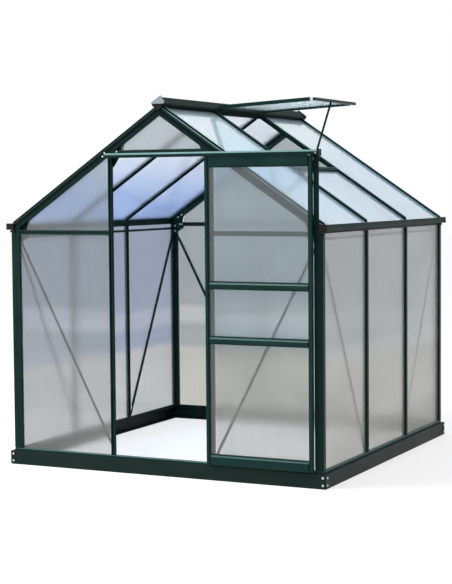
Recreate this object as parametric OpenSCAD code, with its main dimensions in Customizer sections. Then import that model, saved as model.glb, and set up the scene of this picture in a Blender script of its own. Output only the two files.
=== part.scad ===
// A walk-in garden greenhouse: a painted aluminium frame of extruded glazing
// bars, glazed with twin-wall sheets, on a folded steel base. One half of the
// front gable slides open on an overhead track, and one roof bay has a
// top-hung vent propped open on its stay.
// The origin is the middle of the footprint at ground level: X runs along the
// front gable, Y from front to back, Z up.

/* [Footprint and height] */
// Width of the base over its outer faces
base_w = 1900; // [1600:1:2400]
// Depth of the base over its outer faces
base_d = 1920; // [1600:1:2600]
// Height where the roof's outer skin meets the side wall's outer face
eaves_z = 1351; // [1200:1:1600]
// Slope of the roof
roof_pitch = 34; // [28:0.5:40]

/* [Steel base] */
// Height of the folded base rails
base_h = 76; // [50:1:120]
// Width of the base rails' top and bottom flanges
base_flange = 42; // [30:1:60]
// Thickness of the base rails' steel
base_t = 1.5; // [1:0.1:3]
// How far the walls stand back from the base's outer faces
wall_inset = 15; // [8:1:30]
// Width of each leg of a base corner bracket
bracket_w = 28; // [20:1:45]
// Thickness of the corner brackets
bracket_t = 2; // [1:0.1:4]
// Height of the sill rails on top of the base
sill_h = 14; // [12:1:30]

/* [Glazing] */
// Thickness of a twin-wall sheet
sheet_t = 4; // [4:0.5:6]
// Clearance each side of a sheet in its groove
sheet_clear = 0.3; // [0.2:0.05:0.6]
// Thickness of the extrusions' flanges
flange_t = 1.6; // [1.2:0.1:2.4]
// How far the extrusions' faces stand out from the sheets
proud = 13; // [6:1:18]
// Width of the bolt slot in a glazing bar's face
slot_w = 8; // [6:0.5:9]
// Depth of an extrusion from its outer face to the end of its stem
bar_depth = 26; // [22:1:40]
// How far a sheet reaches into its groove
bite = 8; // [5:0.5:9]

/* [Frame members] */
// Face width of a corner post on the gable
post_face = 50; // [44:1:70]
// Face width of a corner post on the side wall
post_side_face = 26; // [24:1:50]
// Face width of the studs and roof bars
stud_face = 21; // [20:0.5:40]
// Face width of the door posts
door_post_face = 22; // [20:0.5:44]
// Face width of a gable rafter
rafter_face = 54; // [48:1:70]
// Width of a rafter's top flange
rafter_cap = 26; // [24:1:40]
// How far the rafter's cap stands back behind its face
rafter_rebate = 15; // [6:1:17]
// Distance between the door posts' centres
door_post_gap = 604; // [520:1:700]
// Distance of the side studs and roof bars from the middle
stud_y = 315; // [260:1:420]
// Height of the eaves beams' top edge
beam_top_z = 1308; // [1250:1:1340]
// Face width of the eaves beams
beam_face = 25; // [24:1:36]

/* [Gutter and ridge] */
// Height of the gutter's outer wall
gutter_h = 34; // [26:1:50]
// How far the gutter stands out from the wall
gutter_out = 26; // [18:1:40]
// How far the gutter's lower half splays in
gutter_splay = 8; // [2:1:14]
// Thickness of the gutter and ridge end caps
cap_t = 11; // [5:1:16]
// Half the width of the ridge over its shoulders
ridge_half = 37; // [32:1:48]
// Height of the ridge above the point where the rafters' outer edges would meet
ridge_rise = 31; // [24:1:40]
// How far the peak of the ridge's end cap leans back from its foot
cap_lean = 31; // [10:1:40]

/* [Sliding door] */
// How far the closed door laps over each door post
door_lap = 10.5; // [4:0.5:16]
// Height of the door's underside
door_foot_z = 83; // [80:1:100]
// Height of the door's top edge
door_top_z = 1693; // [1600:1:1720]
// Thickness of the door's frame
door_t = 20; // [16:1:28]
// Face width of the door's stiles
stile_face = 23; // [16:1:36]
// Height of the door's top rail
door_top_rail = 56; // [40:1:80]
// Height of the door's bottom rail
door_bottom_rail = 60; // [40:1:80]
// Height of each middle rail
door_mid_rail = 43; // [30:1:60]
// Width of the lips that hold the door's panes
lip_w = 8; // [5:0.5:10]
// Height of the sloped edge along the top of the lower rails
rail_slope = 8; // [4:0.5:12]
// Heights of the middle rails' centre lines
mid_rail_z = [741, 1027];
// Running gap between the door and the fixed frame
door_gap = 6; // [5:0.5:10]
// Distance of the open door's far edge from the corner of the walls
door_stand = 50; // [40:1:80]

/* [Door track] */
// Height of the track's front skirt
track_h = 25; // [20:1:40]
// How far the track runs on past the closed door
track_lead = 11; // [10:1:40]
// How far the track runs on past the open door
track_over = 33; // [30:1:56]
// Diameter of the door's rollers
roller_d = 16; // [12:1:20]
// Width of the upright that carries the track's free end
upright_w = 30; // [20:1:40]
// Thickness of the upright
upright_t = 3; // [2:0.5:5]

/* [Roof vent] */
// Length of the vent from the ridge to its outer rail
vent_len = 590; // [500:1:650]
// Angle of the opened vent above the level
vent_open = 3; // [0:0.5:20]
// Height of the vent's frame bars
vent_bar_h = 20; // [16:1:28]
// Width of the vent's frame bars
vent_bar_w = 14; // [12:1:20]
// How far the side bars stop short of the vent's outer rail
vent_bar_gap = 20; // [0:1:30]
// Face width of the sill bar that the vent closes on
vent_sill_face = 26; // [26:1:40]
// Width of the stay
stay_w = 12; // [8:1:20]
// Thickness of the stay
stay_t = 3; // [2:0.5:5]

/* [Bracing] */
// Width of the diagonal braces
brace_w = 14; // [8:1:24]
// Thickness of the diagonal braces
brace_t = 2; // [1.5:0.5:4]
// How deep a brace is over the lip along its upper edge
brace_lip = 10; // [5:1:14]
// How far the lip stops short of each end of a brace
brace_land = 60; // [40:5:100]
// Thickness of the gusset plates
gusset_t = 2; // [1.5:0.5:4]
// How far the gusset plates reach along the members they join
gusset_reach = 70; // [50:1:100]

/* [Hidden] */

// Walls: the outer faces of the frame
wall_x = base_w / 2 - wall_inset;
wall_y = base_d / 2 - wall_inset;
sill_top = base_h + sill_h;

// The groove that holds a sheet, and where a sheet lies behind the outer face
groove = sheet_t + 2 * sheet_clear;
sheet_out = proud + sheet_clear;
inner_face = proud + groove + flange_t;
web_t = 2;
groove_depth = bite + 2;
foot_w = 10;
sill_foot = 5;
nose_w = min(post_side_face, rafter_cap);
nose_step = 1;
seat = 0.2;

// Roof
apex_z = eaves_z + wall_x * tan(roof_pitch);
rafter_drop = rafter_face / cos(roof_pitch);
function roof_z(x) = apex_z - abs(x) * tan(roof_pitch);
function rafter_foot_z(x) = roof_z(x) - rafter_drop;

// Ridge
ridge_top_z = apex_z + ridge_rise;
ridge_t = 2;
ridge_web = ridge_half * 0.32;
ridge_flat = ridge_half * 0.14;
ridge_foot_z = apex_z - ridge_half;
shoulder_z = apex_z - ridge_half * 0.14;
lip_h = ridge_half * 0.32;
lip_z = shoulder_z - lip_h;
cap_rim = 2;
cap_peak = 8;

// Gutter
gutter_top_z = eaves_z - 8;
gutter_floor_z = gutter_top_z - gutter_h;
gutter_channel_z = gutter_floor_z - bite - 4;
gutter_inner = inner_face + seat;
bar_setback = 7;

// Doorway, door and its travel, header
post_x = door_post_gap / 2;
door_w = door_post_gap - door_post_face + 2 * door_lap;
door_travel = wall_x - door_stand - door_w / 2;
header_h = 36;
header_z = door_top_z + 8;

// Door and track
upright_front = -wall_y - upright_t;
door_back = upright_front - door_gap;
door_front = door_back - door_t;
track_z = door_top_z + 2;
track_left = door_w / 2 + track_lead;
track_right = wall_x - door_stand + track_over;
track_top = track_z + track_h;
track_front = door_front - 7;
track_t = 1.8;
track_back = upright_front - track_t;
roller_w = 7;
roller_gap = 5;
roller_y = track_back - roller_gap - roller_w / 2;
roller_z = track_top - track_t - roller_d / 2 - 1;
roller_clear = 0.3;
rail_top_z = roller_z - roller_d / 2 - roller_clear;
rail_edge = roller_y - roller_w / 2 + 1;
hanger_t = 3;
hanger_w = 24;
hanger_back = rail_edge - roller_gap;
lip_y = (door_t - groove) / 2 - flange_t;
rail_depth = door_t - 4;
pane_bite = lip_w - 1;

// Vent
vent_hinge_x = ridge_half + 1;
vent_hinge_z = apex_z - 6;
vent_half = stud_y - 8;
vent_sill_x = 505;
stay_y = -63;

greenhouse_green = [0.12, 0.25, 0.23];
base_green = [0.15, 0.23, 0.21];
sheet_white = [0.80, 0.84, 0.86, 0.6];
cap_black = [0.06, 0.07, 0.07];

// ---------- sections, outer face on y = 0, depth towards -y ----------

// Draws its children, made for the +x half of a section, in both halves.
module both_halves() {
    children();
    mirror([1, 0])
        children();
}

// A glazing bar's body. Outside the sheets it is a bolt channel with a slot
// down its face; behind them is a flange, and the web between makes the two
// grooves.
module bar_body(face) {
    both_halves() {
        translate([slot_w / 2, -flange_t])
            square([(face - slot_w) / 2, flange_t]);
        translate([face / 2 - flange_t, -proud])
            square([flange_t, proud]);
    }
    translate([-face / 2, -proud])
        square([face, flange_t]);
    translate([-web_t / 2, -inner_face])
        square([web_t, inner_face - proud]);
    translate([-face / 2, -inner_face])
        square([face, flange_t]);
}

// A glazing bar's stem inside the flange, ending in a foot.
module bar_stem() {
    translate([-web_t / 2, -bar_depth])
        square([web_t, bar_depth - inner_face + flange_t / 2]);
    translate([-foot_w / 2, -bar_depth])
        square([foot_w, web_t]);
}

module bar_section(face) {
    bar_body(face);
    bar_stem();
}

// One leg of a corner profile: it runs from the corner along -x, its face set
// back a step beyond the nose, with the groove for a sheet at its far end.
module corner_leg(face) {
    translate([-nose_w, -flange_t])
        square([nose_w, flange_t]);
    translate([-face, -flange_t - nose_step])
        square([face - nose_w + flange_t, flange_t]);
    translate([-face, -proud])
        square([flange_t, proud - nose_step]);
    translate([-face, -proud])
        square([groove_depth + web_t, flange_t]);
    translate([-face, -inner_face])
        square([face - inner_face + flange_t, flange_t]);
    translate([-face + groove_depth, -bar_depth])
        square([web_t, bar_depth - nose_step]);
    translate([-face + groove_depth + web_t - foot_w, -bar_depth])
        square([foot_w, web_t]);
}

// A corner profile: two legs at right angles, round a hollow corner.
module corner_section(face_a, face_b) {
    corner_leg(face_a);
    mirror([1, -1])
        corner_leg(face_b);
}

// A rafter: a corner profile whose cap stands back behind its face, with a
// ledge between them.
module rafter_section() {
    difference() {
        corner_section(rafter_cap, rafter_face);
        translate([-rafter_rebate, flange_t - proud])
            square([rafter_cap, proud]);
    }
    translate([-rafter_rebate - flange_t, -proud])
        square([flange_t, proud]);
    translate([-rafter_cap, -proud])
        square([rafter_cap, flange_t]);
}

// A sill: a ledge outside the sheets, its outer edge sloped to shed water,
// and a channel that opens upwards for them. Outer face on x = 0, foot on
// y = 0.
module sill_section() {
    slope = proud / 3;
    polygon([
        [0, 0], [0, sill_h - slope], [-slope, sill_h], [-proud, sill_h],
        [-proud, sill_h - flange_t], [-slope - 0.7, sill_h - flange_t],
        [-flange_t, sill_h - slope - 0.7], [-flange_t, 0]
    ]);
    translate([-proud, 0])
        square([flange_t, sill_h]);
    translate([-inner_face, 0])
        square([flange_t, sill_h]);
    translate([-inner_face - sill_foot, 0])
        square([inner_face + sill_foot, flange_t]);
}

// A base rail: a C folded from sheet, open to the inside.
module base_section() {
    difference() {
        translate([-base_flange, 0])
            square([base_flange, base_h]);
        translate([-base_flange - 1, base_t])
            square([base_flange + 1 - base_t, base_h - 2 * base_t]);
    }
}

// The gutter outside the walls: its outer wall is upright above and splayed
// in below. Wall's outer face on x = 0.
module gutter_section() {
    knee_z = gutter_floor_z + gutter_h / 2;
    toe = gutter_out - gutter_splay;
    polygon([
        [gutter_out, gutter_top_z], [gutter_out, knee_z], [toe, gutter_floor_z],
        [seat, gutter_floor_z], [seat, gutter_floor_z + flange_t],
        [toe - 0.7, gutter_floor_z + flange_t], [gutter_out - flange_t, knee_z + 0.6],
        [gutter_out - flange_t, gutter_top_z]
    ]);
    translate([gutter_out - 3 * flange_t, gutter_top_z - flange_t])
        square([3 * flange_t, flange_t]);
    translate([seat, gutter_floor_z])
        square([flange_t, gutter_h / 2]);
}

// The eaves rail behind the gutter: a channel under it for the wall sheets,
// and a web that carries the roof bars.
module eaves_rail_section() {
    web_top = roof_z(wall_x - proud + flange_t) - inner_face / cos(roof_pitch) - seat;
    channel_h = gutter_floor_z - gutter_channel_z;
    translate([-gutter_inner, gutter_floor_z])
        square([gutter_inner + flange_t, flange_t]);
    translate([-gutter_inner, gutter_channel_z])
        square([flange_t, channel_h + flange_t]);
    translate([-proud, gutter_channel_z])
        square([flange_t, web_top - gutter_channel_z]);
}

// The ridge: a hollow gabled hood with a lip each side, over a box web.
module ridge_outline() {
    both_halves()
        polygon([
            [0, ridge_top_z], [ridge_flat, ridge_top_z],
            [ridge_half, shoulder_z], [ridge_half, lip_z],
            [ridge_half - ridge_t, lip_z], [ridge_web, shoulder_z - ridge_flat],
            [ridge_web, ridge_foot_z], [0, ridge_foot_z]
        ]);
}

module ridge_section() {
    hood = ridge_half - 3 * ridge_t;
    box_top = shoulder_z - ridge_flat - ridge_t;
    difference() {
        ridge_outline();
        both_halves()
            polygon([
                [-seat, ridge_top_z - ridge_t], [ridge_flat - 1, ridge_top_z - ridge_t],
                [hood, shoulder_z], [-seat, shoulder_z]
            ]);
        translate([-ridge_web + ridge_t, ridge_foot_z + ridge_t])
            square([2 * (ridge_web - ridge_t), box_top - ridge_foot_z - ridge_t]);
    }
}

// ---------- placing ----------

// Draws its children, made for the +x side, on both sides.
module both_sides() {
    children();
    mirror([1, 0, 0])
        children();
}

// Draws its children, made for the +y end, at both ends.
module both_ends() {
    children();
    mirror([0, 1, 0])
        children();
}

// A section stood upright, its outer face turned to the +x wall.
module upright_on_right(z0, z1) {
    translate([0, 0, z0])
        rotate([0, 0, -90])
            linear_extrude(z1 - z0)
                children();
}

// A section laid along y, drawn in the x-z plane.
module along_y(y0, y1) {
    translate([0, y1, 0])
        rotate([90, 0, 0])
            linear_extrude(y1 - y0)
                children();
}

// A section laid along x, drawn in the y-z plane with +x of the section
// towards +y.
module along_x(x0, x1) {
    translate([x0, 0, 0])
        rotate([90, 0, 90])
            linear_extrude(x1 - x0)
                children();
}

// Roof frame of the right slope: x down the slope from the apex line, y along
// the ridge, z out of the roof.
module on_slope() {
    translate([0, 0, apex_z])
        rotate([0, roof_pitch, 0])
            children();
}

// A section run down the right slope from distance u0 to u1, outer face up.
module down_slope(u0, u1) {
    on_slope()
        translate([u0, 0, 0])
            rotate([90, 0, 90])
                linear_extrude(u1 - u0)
                    children();
}

// Lays a child that runs along x on the line from a to b in the x-z plane.
module along_line(a, b) {
    turn = atan2(b[1] - a[1], b[0] - a[0]);
    translate([a[0], 0, a[1]])
        rotate([0, -turn, 0])
            children();
}

// A flat bar in the x-z plane from a to b, its ends square.
module flat_bar(a, b, w, t) {
    along_line(a, b)
        translate([0, 0, -w / 2])
            cube([norm(b - a), t, w]);
}

// A brace is an angle section. Its lip turns out towards the sheet, and is cut
// away where its ends are bolted.
module brace_bar(a, b) {
    flat_bar(a, b, brace_w, brace_t);
    along_line(a, b)
        translate([brace_land, brace_t - brace_lip, brace_w / 2 - brace_t])
            cube([norm(b - a) - 2 * brace_land, brace_lip, brace_t]);
}

// ---------- base ----------

// The plan of one base side for the mitres: half the width w, half the depth d.
module mitre_plan(w, d, reach) {
    polygon([
        [-w, -d], [w, -d], [w - reach, -d + reach], [-w + reach, -d + reach]
    ]);
}

module front_rail(w, d, reach) {
    intersection() {
        along_x(-w, w)
            translate([-d, 0])
                mirror([1, 0])
                    children();
        translate([0, 0, -1])
            linear_extrude(base_h + sill_h + 2)
                mitre_plan(w - seat, d, reach);
    }
}

module right_rail(w, d, reach) {
    intersection() {
        along_y(-d, d)
            translate([w, 0])
                children();
        translate([0, 0, -1])
            linear_extrude(base_h + sill_h + 2)
                rotate(90)
                    mitre_plan(d - seat, w, reach);
    }
}

module base_front() {
    color(base_green)
        front_rail(base_w / 2, base_d / 2, base_flange)
            base_section();
}

module base_back() {
    color(base_green)
        mirror([0, 1, 0])
            front_rail(base_w / 2, base_d / 2, base_flange)
                base_section();
}

module base_sides() {
    color(base_green)
        both_sides()
            right_rail(base_w / 2, base_d / 2, base_flange)
                base_section();
}

module base_corner_brackets() {
    leg = bracket_w + bracket_t;
    color(base_green)
        both_sides()
            both_ends()
                translate([base_w / 2, base_d / 2, 2])
                    difference() {
                        translate([-bracket_w, -bracket_w, 0])
                            cube([leg, leg, base_h - 4]);
                        translate([-bracket_w - 1, -bracket_w - 1, -1])
                            cube([bracket_w + 1, bracket_w + 1, base_h]);
                    }
}

module sill_front() {
    color(greenhouse_green)
        front_rail(wall_x, wall_y, inner_face + sill_foot)
            translate([0, base_h])
                sill_section();
}

module sill_back() {
    color(greenhouse_green)
        mirror([0, 1, 0])
            front_rail(wall_x, wall_y, inner_face + sill_foot)
                translate([0, base_h])
                    sill_section();
}

module sill_sides() {
    color(greenhouse_green)
        both_sides()
            right_rail(wall_x, wall_y, inner_face + sill_foot)
                translate([0, base_h])
                    sill_section();
}

// ---------- walls ----------

module corner_posts() {
    color(greenhouse_green)
        both_sides()
            both_ends()
                difference() {
                    translate([wall_x, wall_y, sill_top])
                        linear_extrude(eaves_z - sill_top)
                            corner_section(post_face, post_side_face);
                    on_slope()
                        translate([0, -wall_y, -rafter_face - seat])
                            cube([base_w, 3 * wall_y, base_w]);
                }
}

module side_studs() {
    color(greenhouse_green)
        both_sides()
            both_ends()
                translate([wall_x, stud_y, 0])
                    upright_on_right(sill_top, gutter_channel_z)
                        bar_section(stud_face);
}

// A gable stud at x on the back wall, cut under the rafter.
module gable_stud(x, face) {
    difference() {
        translate([x, wall_y, sill_top])
            linear_extrude(apex_z - sill_top)
                bar_section(face);
        on_slope()
            translate([0, 0, -rafter_face - seat])
                cube([base_w, base_d, base_w]);
    }
}

module door_posts() {
    color(greenhouse_green)
        both_sides()
            mirror([0, 1, 0])
                gable_stud(post_x, door_post_face);
}

module back_studs() {
    color(greenhouse_green)
        both_sides()
            gable_stud(post_x, door_post_face);
}

// ---------- eaves ----------

module gutters() {
    rail_y = wall_y - post_side_face;
    color(greenhouse_green)
        both_sides() {
            along_y(-wall_y, wall_y)
                translate([wall_x, 0])
                    gutter_section();
            along_y(-rail_y, rail_y)
                translate([wall_x, 0])
                    eaves_rail_section();
        }
}

// The end caps follow the outline of the gutter and the rail in two steps.
module gutter_end_caps() {
    color(cap_black)
        both_sides()
            both_ends()
                translate([wall_x, 0])
                    along_y(wall_y, wall_y + cap_t) {
                        translate([-gutter_inner, gutter_floor_z])
                            square([gutter_out + gutter_inner + 1, gutter_h + 1]);
                        translate([-post_side_face, gutter_channel_z - cap_rim])
                            square([post_side_face + cap_rim, bite + 2 * cap_rim]);
                    }
}

// Eaves beams, drawn for the back wall.
module eaves_beam(x0, x1) {
    along_x(x0, x1)
        translate([wall_y, beam_top_z - beam_face / 2])
            rotate(-90)
                bar_section(beam_face);
}

module eaves_beam_front() {
    color(greenhouse_green)
        both_sides()
            mirror([0, 1, 0])
                eaves_beam(post_x + door_post_face / 2, wall_x - post_face);
}

module eaves_beam_back() {
    color(greenhouse_green) {
        both_sides()
            eaves_beam(post_x + door_post_face / 2, wall_x - post_face);
        eaves_beam(-post_x + door_post_face / 2, post_x - door_post_face / 2);
    }
}

// ---------- gables and roof ----------

module back_rafter() {
    reach = wall_x / cos(roof_pitch) + rafter_face;
    difference() {
        on_slope()
            translate([-rafter_face, wall_y, 0])
                rotate([90, 0, 90])
                    linear_extrude(reach + rafter_face)
                        rafter_section();
        translate([wall_x, 0, 0])
            cube([base_w, base_d, apex_z]);
        translate([-base_w + seat, 0, 0])
            cube([base_w, base_d, 2 * apex_z]);
        along_y(0, base_d)
            ridge_cutter();
    }
}

// The space round the ridge that rafters are cut back from.
module ridge_cutter() {
    both_halves()
        polygon([
            [0, apex_z + base_h], [ridge_half + 1, apex_z + base_h],
            [ridge_half + 1, lip_z - 3 * seat],
            [ridge_web + seat, shoulder_z - ridge_flat - 3 * seat],
            [ridge_web + seat, ridge_foot_z - seat], [0, ridge_foot_z - seat]
        ]);
}

module back_rafters() {
    color(greenhouse_green)
        both_sides()
            back_rafter();
}

module front_rafters() {
    color(greenhouse_green)
        both_sides()
            mirror([0, 1, 0])
                back_rafter();
}

module roof_bars() {
    u0 = (ridge_web + bar_depth * sin(roof_pitch) + 0.6) / cos(roof_pitch);
    u1 = wall_x / cos(roof_pitch);
    stem_end = (wall_x - proud) / cos(roof_pitch) + inner_face * tan(roof_pitch) - 1;
    color(greenhouse_green)
        both_sides()
            both_ends()
                translate([0, stud_y, 0])
                    difference() {
                        union() {
                            down_slope(u0, u1 + bar_depth)
                                bar_body(stud_face);
                            down_slope(u0, stem_end)
                                bar_stem();
                        }
                        translate([wall_x - bar_setback, -stud_face, 0])
                            cube([base_w, 2 * stud_face, apex_z]);
                    }
}

// The space between the ridge's two ends, each of which leans back above the
// shoulder.
module between_ends(y) {
    lean = cap_lean / (ridge_top_z + cap_peak - shoulder_z);
    top = ridge_top_z + base_h;
    upper = y - (top - shoulder_z) * lean;
    along_x(-base_h, base_h)
        polygon([
            [-y, 0], [y, 0], [y, shoulder_z], [upper, top], [-upper, top], [-y, shoulder_z]
        ]);
}

module ridge() {
    color(greenhouse_green)
        intersection() {
            along_y(-wall_y, wall_y)
                ridge_section();
            between_ends(wall_y);
        }
}

module ridge_end_caps() {
    y0 = wall_y - cap_lean - cap_t;
    color(cap_black)
        both_ends()
            difference() {
                intersection() {
                    along_y(y0, wall_y + cap_t)
                        both_halves()
                            polygon([
                                [0, ridge_top_z + cap_peak], [ridge_half + cap_rim, apex_z + cap_rim],
                                [ridge_half + cap_rim, apex_z - 1],
                                [ridge_web - cap_rim, ridge_foot_z - cap_rim],
                                [0, ridge_foot_z - cap_rim]
                            ]);
                    between_ends(wall_y + cap_t);
                }
                between_ends(wall_y);
            }
}

module door_header() {
    half = post_x - door_post_face / 2;
    color(greenhouse_green)
        mirror([0, 1, 0])
            difference() {
                along_x(-half, half) {
                    translate([wall_y, header_z + header_h / 2])
                        rotate(-90)
                            bar_section(header_h);
                    translate([wall_y - 1, header_z + 8])
                        square([upright_t + 1, header_h - 16]);
                }
                both_sides()
                    on_slope()
                        translate([0, 0, -rafter_face - seat])
                            cube([base_w, base_d, base_w]);
            }
}

// ---------- plates ----------

// An eaves gusset joins post, beam and rafter on their inner faces.
module eaves_gusset() {
    inner = wall_x - post_face;
    outer = wall_x - bar_depth - brace_t - 1;
    top = inner - gusset_reach + 8;
    lap = rafter_face / 4;
    polygon([
        [outer, beam_top_z - gusset_reach], [inner + 4, beam_top_z - gusset_reach],
        [inner - gusset_reach + 16, beam_top_z - gusset_reach / 2],
        [inner - gusset_reach + 26, beam_top_z + 2],
        [top, rafter_foot_z(top) + lap], [outer - 14, rafter_foot_z(outer - 14) + lap]
    ]);
}

// A door head gusset joins door post, header and rafter.
module head_gusset() {
    inner = post_x - door_post_face / 2;
    outer = post_x + door_post_face / 3;
    top = inner - gusset_reach;
    lap = rafter_face / 4;
    foot = header_z - gusset_reach + 16;
    head = header_z + header_h;
    polygon([
        [outer, foot], [inner - 1, foot],
        [inner - gusset_reach / 2, header_z - 4], [inner - gusset_reach + 10, head + 2],
        [top, head + 40], [top, rafter_foot_z(top) + lap],
        [outer, rafter_foot_z(outer) + lap]
    ]);
}

module gusset_plates() {
    y0 = wall_y - bar_depth - gusset_t;
    color(greenhouse_green)
        both_sides() {
            both_ends()
                along_y(y0, y0 + gusset_t)
                    eaves_gusset();
            mirror([0, 1, 0])
                along_y(y0, y0 + gusset_t)
                    head_gusset();
        }
}

// ---------- track ----------

// The track is a hood over the rollers: a back flange on the frame, a top, a
// sloped edge and a front skirt, and a rail inside with a raised edge that
// the rollers run on.
module door_track() {
    rail_z = rail_top_z - track_t;
    slope_h = track_h * 0.36;
    slope_y = track_h * 0.24;
    color(greenhouse_green)
        along_x(-track_left, track_right) {
            translate([track_back, rail_z])
                square([track_t, track_top - rail_z]);
            polygon([
                [track_front, track_z], [track_front, track_top - slope_h],
                [track_front + slope_y, track_top], [upright_front, track_top],
                [upright_front, track_top - track_t],
                [track_front + slope_y + track_t / 2, track_top - track_t],
                [track_front + track_t, track_top - slope_h - track_t / 2],
                [track_front + track_t, track_z]
            ]);
            translate([rail_edge, rail_z])
                square([upright_front - rail_edge, track_t]);
        }
}

module track_end_stop() {
    color(cap_black)
        translate([track_right, 0, 0])
            along_x(0, cap_t)
                translate([track_front - 2, track_z - 6])
                    square([upright_front - track_front + 2, track_h + 9]);
}

// The upright stands on the eaves corner and carries the track's free end.
module track_upright() {
    x1 = track_right - 4;
    foot_z = eaves_z - 16;
    color(greenhouse_green)
        translate([x1 - upright_w, upright_front, foot_z])
            cube([upright_w, upright_t, track_top - foot_z]);
}

// ---------- braces ----------

brace_top_z = gutter_channel_z - post_face;
brace_foot_z = sill_top + 12;

module front_brace() {
    translate([0, wall_y - bar_depth - gusset_t, 0])
        mirror([0, 1, 0])
            brace_bar(
                [post_x, brace_foot_z],
                [wall_x - post_face + 8, brace_top_z]
            );
}

module front_braces() {
    color(greenhouse_green)
        both_sides()
            mirror([0, 1, 0])
                front_brace();
}

module back_braces() {
    color(greenhouse_green)
        both_sides()
            front_brace();
}

// The side walls' diagonals, and the tie along each wall under the eaves.
module side_braces() {
    brace_y = wall_y - post_side_face;
    tie_y = wall_y - inner_face - 1;
    color(greenhouse_green)
        both_sides()
            translate([wall_x - bar_depth, 0, 0])
                rotate([0, 0, 90]) {
                    both_sides()
                        brace_bar(
                            [stud_y, brace_foot_z], [brace_y, brace_top_z]
                        );
                    translate([-tie_y, 0, brace_top_z + brace_w])
                        cube([2 * tie_y, brace_t, brace_w]);
                }
}

// ---------- sheets ----------

// A sheet in the back wall's plane, its outline drawn in x-z.
module back_sheet() {
    along_y(wall_y - sheet_out - sheet_t, wall_y - sheet_out)
        children();
}

// A sheet that fills the opening x0 to x1 by z0 to z1 and reaches into the
// grooves round it.
module wall_sheet_outline(x0, x1, z0, z1) {
    translate([x0 - bite, z0 - bite])
        square([x1 - x0 + 2 * bite, z1 - z0 + 2 * bite]);
}

module front_wall_panels() {
    color(sheet_white)
        both_sides()
            mirror([0, 1, 0])
                back_sheet()
                    wall_sheet_outline(
                        post_x + door_post_face / 2, wall_x - post_face,
                        sill_top, beam_top_z - beam_face
                    );
}

module back_wall_panels() {
    color(sheet_white) {
        both_sides()
            back_sheet()
                wall_sheet_outline(
                    post_x + door_post_face / 2, wall_x - post_face,
                    sill_top, beam_top_z - beam_face
                );
        back_sheet()
            wall_sheet_outline(
                -post_x + door_post_face / 2, post_x - door_post_face / 2,
                sill_top, beam_top_z - beam_face
            );
    }
}

// The sheet beside the door post, under the rafter, with its low corner cut
// off behind the eaves gusset.
module gable_side_outline() {
    x0 = post_x + door_post_face / 2 - bite;
    x1 = wall_x - post_face + bite;
    z0 = beam_top_z - bite;
    rise = bite / cos(roof_pitch);
    cut = wall_x - post_face - 40;
    polygon([
        [x0, z0], [cut, z0], [cut - 20, rafter_foot_z(cut - 20) + rise],
        [x0, rafter_foot_z(x0) + rise]
    ]);
}

// The sheet between the door posts, above the given height.
module gable_middle_outline(z0, corner) {
    x0 = post_x - door_post_face / 2 + bite;
    rise = bite / cos(roof_pitch);
    polygon([
        [-x0 + corner, z0 - bite], [x0 - corner, z0 - bite],
        [x0 - corner, rafter_foot_z(x0 - corner) + rise], [0, rafter_foot_z(0) + rise],
        [-x0 + corner, rafter_foot_z(x0 - corner) + rise]
    ]);
}

module front_gable_panels() {
    color(sheet_white)
        mirror([0, 1, 0]) {
            both_sides()
                back_sheet()
                    gable_side_outline();
            back_sheet()
                gable_middle_outline(header_z + header_h, 62);
        }
}

module back_gable_panels() {
    color(sheet_white) {
        both_sides()
            back_sheet()
                gable_side_outline();
        back_sheet()
            gable_middle_outline(beam_top_z, 0);
    }
}

// The three sheets of the right wall; the outer two are notched under the
// rafters.
module side_wall_sheets() {
    z0 = sill_top - bite;
    z1 = gutter_channel_z + bite;
    x0 = wall_x - sheet_out - sheet_t;
    inner = stud_y - stud_face / 2;
    outer = stud_y + stud_face / 2;
    translate([x0, -inner - bite, z0])
        cube([sheet_t, 2 * (inner + bite), z1 - z0]);
    rail_y = wall_y - post_side_face - seat;
    notch_z = rafter_foot_z(wall_x - sheet_out) - seat;
    both_ends() {
        translate([x0, outer - bite, z0])
            cube([sheet_t, rail_y - outer + bite, z1 - z0]);
        translate([x0, outer - bite, z0])
            cube([sheet_t, rail_y - outer + 2 * bite, notch_z - z0]);
    }
}

module right_wall_panels() {
    color(sheet_white)
        side_wall_sheets();
}

module left_wall_panels() {
    color(sheet_white)
        mirror([1, 0, 0])
            side_wall_sheets();
}

// A roof sheet of the right slope, from u0 to u1 down it and y0 to y1 along.
module roof_sheet(u0, u1, y0, y1) {
    on_slope()
        translate([u0, y0, -sheet_out - sheet_t])
            cube([u1 - u0, y1 - y0, sheet_t]);
}

roof_u0 = (ridge_web + 1) / cos(roof_pitch) + (sheet_out + sheet_t) * tan(roof_pitch);
roof_u1 = (wall_x + gutter_out / 2) / cos(roof_pitch);
vent_sill_u = vent_sill_x / cos(roof_pitch);
roof_y0 = stud_y + stud_face / 2 - bite;
roof_y1 = wall_y - rafter_cap + bite;
bay_half = stud_y - stud_face / 2 + bite;

module left_roof_panels() {
    color(sheet_white)
        mirror([1, 0, 0]) {
            both_ends()
                roof_sheet(roof_u0, roof_u1, roof_y0, roof_y1);
            roof_sheet(roof_u0, roof_u1, -bay_half, bay_half);
        }
}

module right_roof_panels() {
    color(sheet_white) {
        both_ends()
            roof_sheet(roof_u0, roof_u1, roof_y0, roof_y1);
        roof_sheet(vent_sill_u + vent_sill_face / 2 - bite, roof_u1, -bay_half, bay_half);
    }
}

// ---------- vent ----------

// The opened vent's frame: x out from the hinge, z up.
module on_vent() {
    translate([vent_hinge_x, 0, vent_hinge_z])
        rotate([0, -vent_open, 0])
            children();
}

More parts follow.
